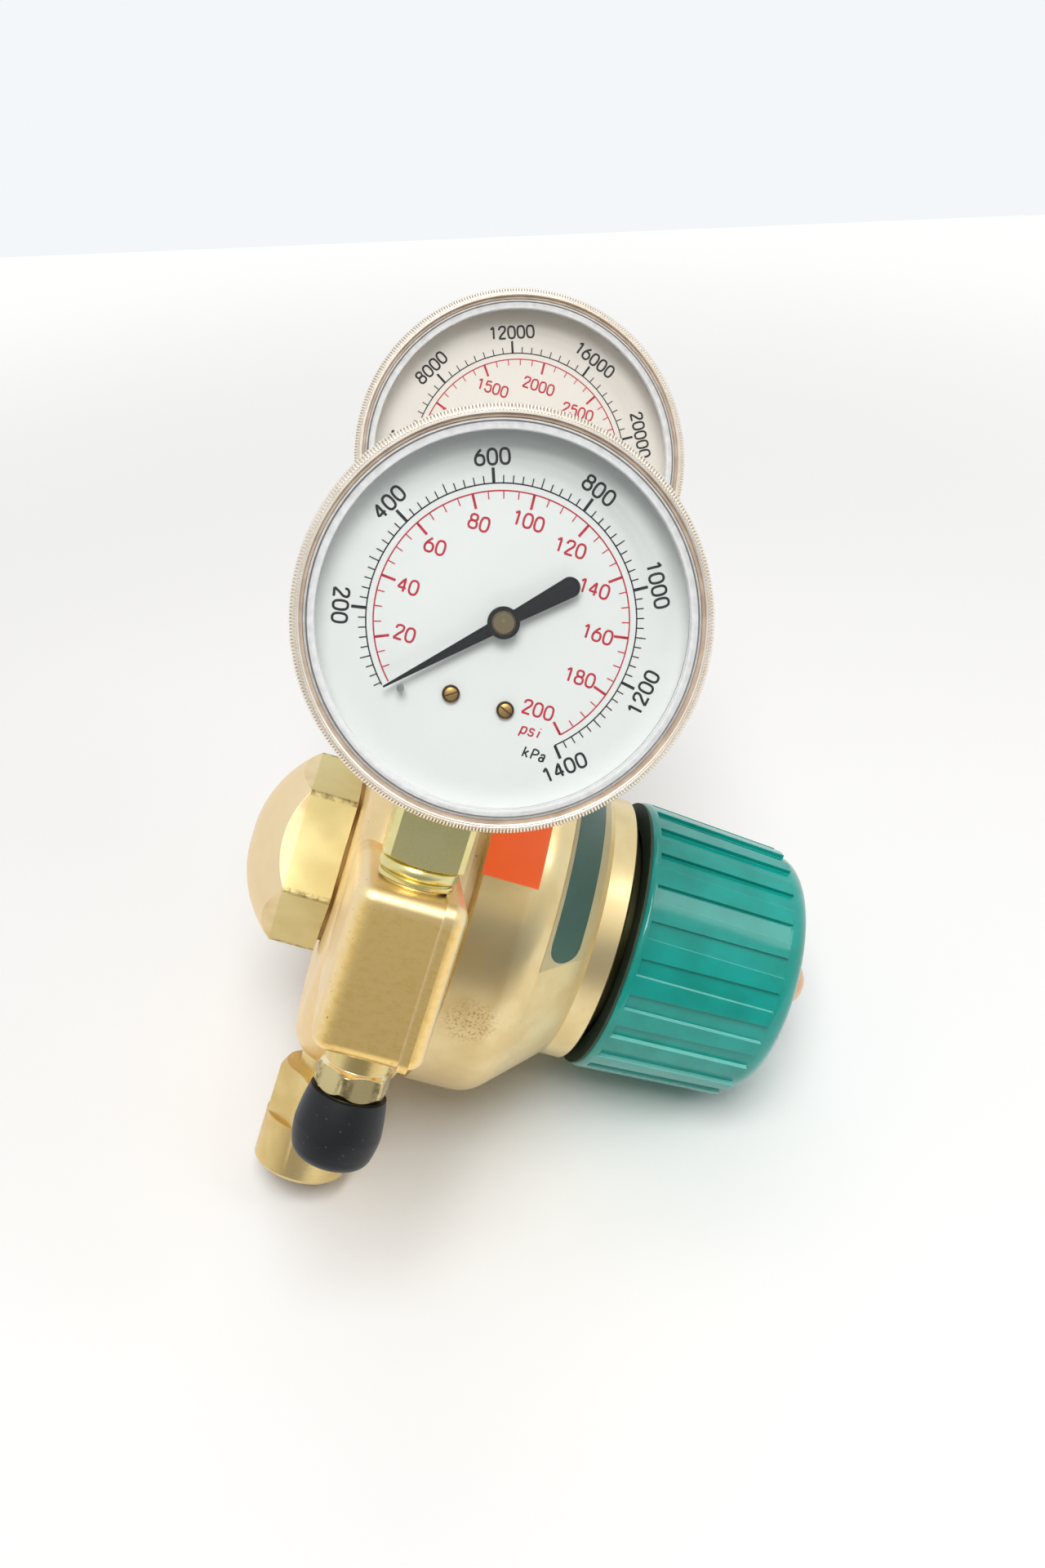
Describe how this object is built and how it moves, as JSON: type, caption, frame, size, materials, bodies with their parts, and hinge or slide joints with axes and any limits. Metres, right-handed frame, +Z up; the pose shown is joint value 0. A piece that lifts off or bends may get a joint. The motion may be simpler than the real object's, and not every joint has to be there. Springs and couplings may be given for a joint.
{
  "type": "gas pressure regulator",
  "caption": "Brass gas pressure regulator lying on a bench: forged body with a spring bonnet and adjusting knob, dial gauges on square stems, relief valve, capped outlet and hidden inlet.",
  "frame": {"origin": "centre of the bounding box's bottom face, on the bench that the regulator lies on", "axes": "+Z up from the bench; the dials look towards -Y and upwards; the knob points towards +X, and the inlet towards +Y"},
  "size_m": [0.13, 0.1644, 0.1803],
  "materials": {
    "forged_brass": "satin forged brass",
    "turned_brass": "polished turned brass",
    "bright_brass": "warm bright brass",
    "steel": "ground stainless steel",
    "spring_steel": "drawn spring wire",
    "teal_plastic": "moulded teal plastic",
    "black_vinyl": "soft black vinyl",
    "seal_rubber": "black seal",
    "case_metal": "pale lacquered steel",
    "bezel_metal": "pale knurled bezel",
    "clear_window": "clear window",
    "dial_white": "printed white dial",
    "pointer_black": "black pointer",
    "sintered": "sintered bronze"
  },
  "bodies": {
    "regulator": {"body_forging": "forged_brass", "bonnet": "turned_brass", "delivery_bezel": "bezel_metal", "delivery_bourdon_tube": "turned_brass", "delivery_case": "case_metal", "delivery_crystal": "clear_window", "delivery_dial": "dial_white", "delivery_dial_screws": "bright_brass", "delivery_movement": "turned_brass", "delivery_stem": "turned_brass", "delivery_stop_pin": "bright_brass", "diaphragm": "steel", "inlet_coupling": "turned_brass", "inlet_filter": "sintered", "inlet_nipple": "turned_brass", "main_spring": "spring_steel", "outlet_fitting": "turned_brass", "poppet_spring": "spring_steel", "rear_cap": "bright_brass", "rear_cap_seal": "seal_rubber", "relief_body": "turned_brass", "relief_plug": "turned_brass", "relief_spring": "spring_steel", "seat_nozzle": "turned_brass", "slip_ring": "steel", "supply_bezel": "bezel_metal", "supply_bourdon_tube": "turned_brass", "supply_case": "case_metal", "supply_crystal": "clear_window", "supply_dial": "dial_white", "supply_dial_screws": "bright_brass", "supply_movement": "turned_brass", "supply_stem": "turned_brass", "supply_stop_pin": "bright_brass", "thrust_washer": "steel"},
    "knob_body": {"knob": "teal_plastic", "knob_nut": "bright_brass", "adjusting_spindle": "steel"},
    "spring_nut_body": {"spring_nut": "turned_brass"},
    "valve": {"poppet": "steel", "diaphragm_plate": "turned_brass"},
    "relief_valve": {"relief_poppet": "steel"},
    "dust_cap": {"outlet_cap": "black_vinyl"},
    "delivery_hand": {"delivery_pointer": "pointer_black", "delivery_pinion_arbor": "bright_brass"},
    "delivery_toothed_sector": {"delivery_sector": "turned_brass"},
    "delivery_pull_link": {"delivery_link": "turned_brass"},
    "supply_hand": {"supply_pointer": "pointer_black", "supply_pinion_arbor": "bright_brass"},
    "supply_toothed_sector": {"supply_sector": "turned_brass"},
    "supply_pull_link": {"supply_link": "turned_brass"}
  },
  "joints": [
    {"name": "knob_turn", "type": "hinge", "parent": "regulator", "child": "knob_body", "pos_m": [0.02463, -0.00501, 0.0371], "axis": [-0.9378, 0.0927, 0.3345], "range_deg": [0, 2160]},
    {"name": "spring_nut_slide", "type": "slide", "parent": "regulator", "child": "spring_nut_body", "axis": [-0.9378, 0.0927, 0.3345], "range_m": [0, 0.00751], "deforming": ["main_spring"]},
    {"name": "valve_lift", "type": "slide", "parent": "regulator", "child": "valve", "axis": [-0.9378, 0.0927, 0.3345], "range_m": [0, 0.0008], "stiffness_N_per_m": 4000, "springref_m": -0.001, "deforming": ["poppet_spring", "diaphragm", "main_spring"]},
    {"name": "relief_lift", "type": "slide", "parent": "regulator", "child": "relief_valve", "axis": [-0.3337, -0.5055, -0.7957], "range_m": [0, 0.0015], "stiffness_N_per_m": 1500, "springref_m": -0.001, "deforming": ["relief_spring"]},
    {"name": "outlet_cap_pull", "type": "slide", "parent": "regulator", "child": "dust_cap", "axis": [-0.3337, -0.5055, -0.7957], "range_m": [0, 0.02]},
    {"name": "delivery_pointer_turn", "type": "hinge", "parent": "regulator", "child": "delivery_hand", "pos_m": [-0.00402, -0.02455, 0.14159], "axis": [-0.0953, 0.8578, -0.505], "range_deg": [0, 270], "stiffness_Nm_per_rad": 0.0002, "springref_deg": -11.46, "deforming": ["delivery_bourdon_tube"]},
    {"name": "delivery_sector_turn", "type": "hinge", "parent": "regulator", "child": "delivery_toothed_sector", "pos_m": [-0.00845, -0.03128, 0.13101], "axis": [-0.0953, 0.8578, -0.505], "range_deg": [-27.1, 0], "deforming": ["delivery_bourdon_tube"]},
    {"name": "delivery_link_turn", "type": "hinge", "parent": "delivery_toothed_sector", "child": "delivery_pull_link", "pos_m": [-0.01074, -0.03325, 0.12809], "axis": [-0.0953, 0.8578, -0.505], "range_deg": [0, 27.1], "deforming": ["delivery_bourdon_tube"]},
    {"name": "supply_pointer_turn", "type": "hinge", "parent": "regulator", "child": "supply_hand", "pos_m": [-0.00004, 0.04842, 0.13252], "axis": [-0.0953, 0.8578, -0.505], "range_deg": [0, 270], "stiffness_Nm_per_rad": 0.0002, "springref_deg": -11.46, "deforming": ["supply_bourdon_tube"]},
    {"name": "supply_sector_turn", "type": "hinge", "parent": "regulator", "child": "supply_toothed_sector", "pos_m": [-0.00448, 0.0417, 0.12194], "axis": [-0.0953, 0.8578, -0.505], "range_deg": [-27.1, 0], "deforming": ["supply_bourdon_tube"]},
    {"name": "supply_link_turn", "type": "hinge", "parent": "supply_toothed_sector", "child": "supply_pull_link", "pos_m": [-0.00676, 0.03972, 0.11901], "axis": [-0.0953, 0.8578, -0.505], "range_deg": [0, 27.1], "deforming": ["supply_bourdon_tube"]}
  ],
  "couplings": [
    {"joint": "spring_nut_slide", "follows": "knob_turn", "m_per_rad": 0.00019894},
    {"joint": "delivery_sector_turn", "follows": "delivery_pointer_turn", "ratio": -0.1},
    {"joint": "delivery_link_turn", "follows": "delivery_pointer_turn", "ratio": 0.1},
    {"joint": "supply_sector_turn", "follows": "supply_pointer_turn", "ratio": -0.1},
    {"joint": "supply_link_turn", "follows": "supply_pointer_turn", "ratio": 0.1}
  ]
}
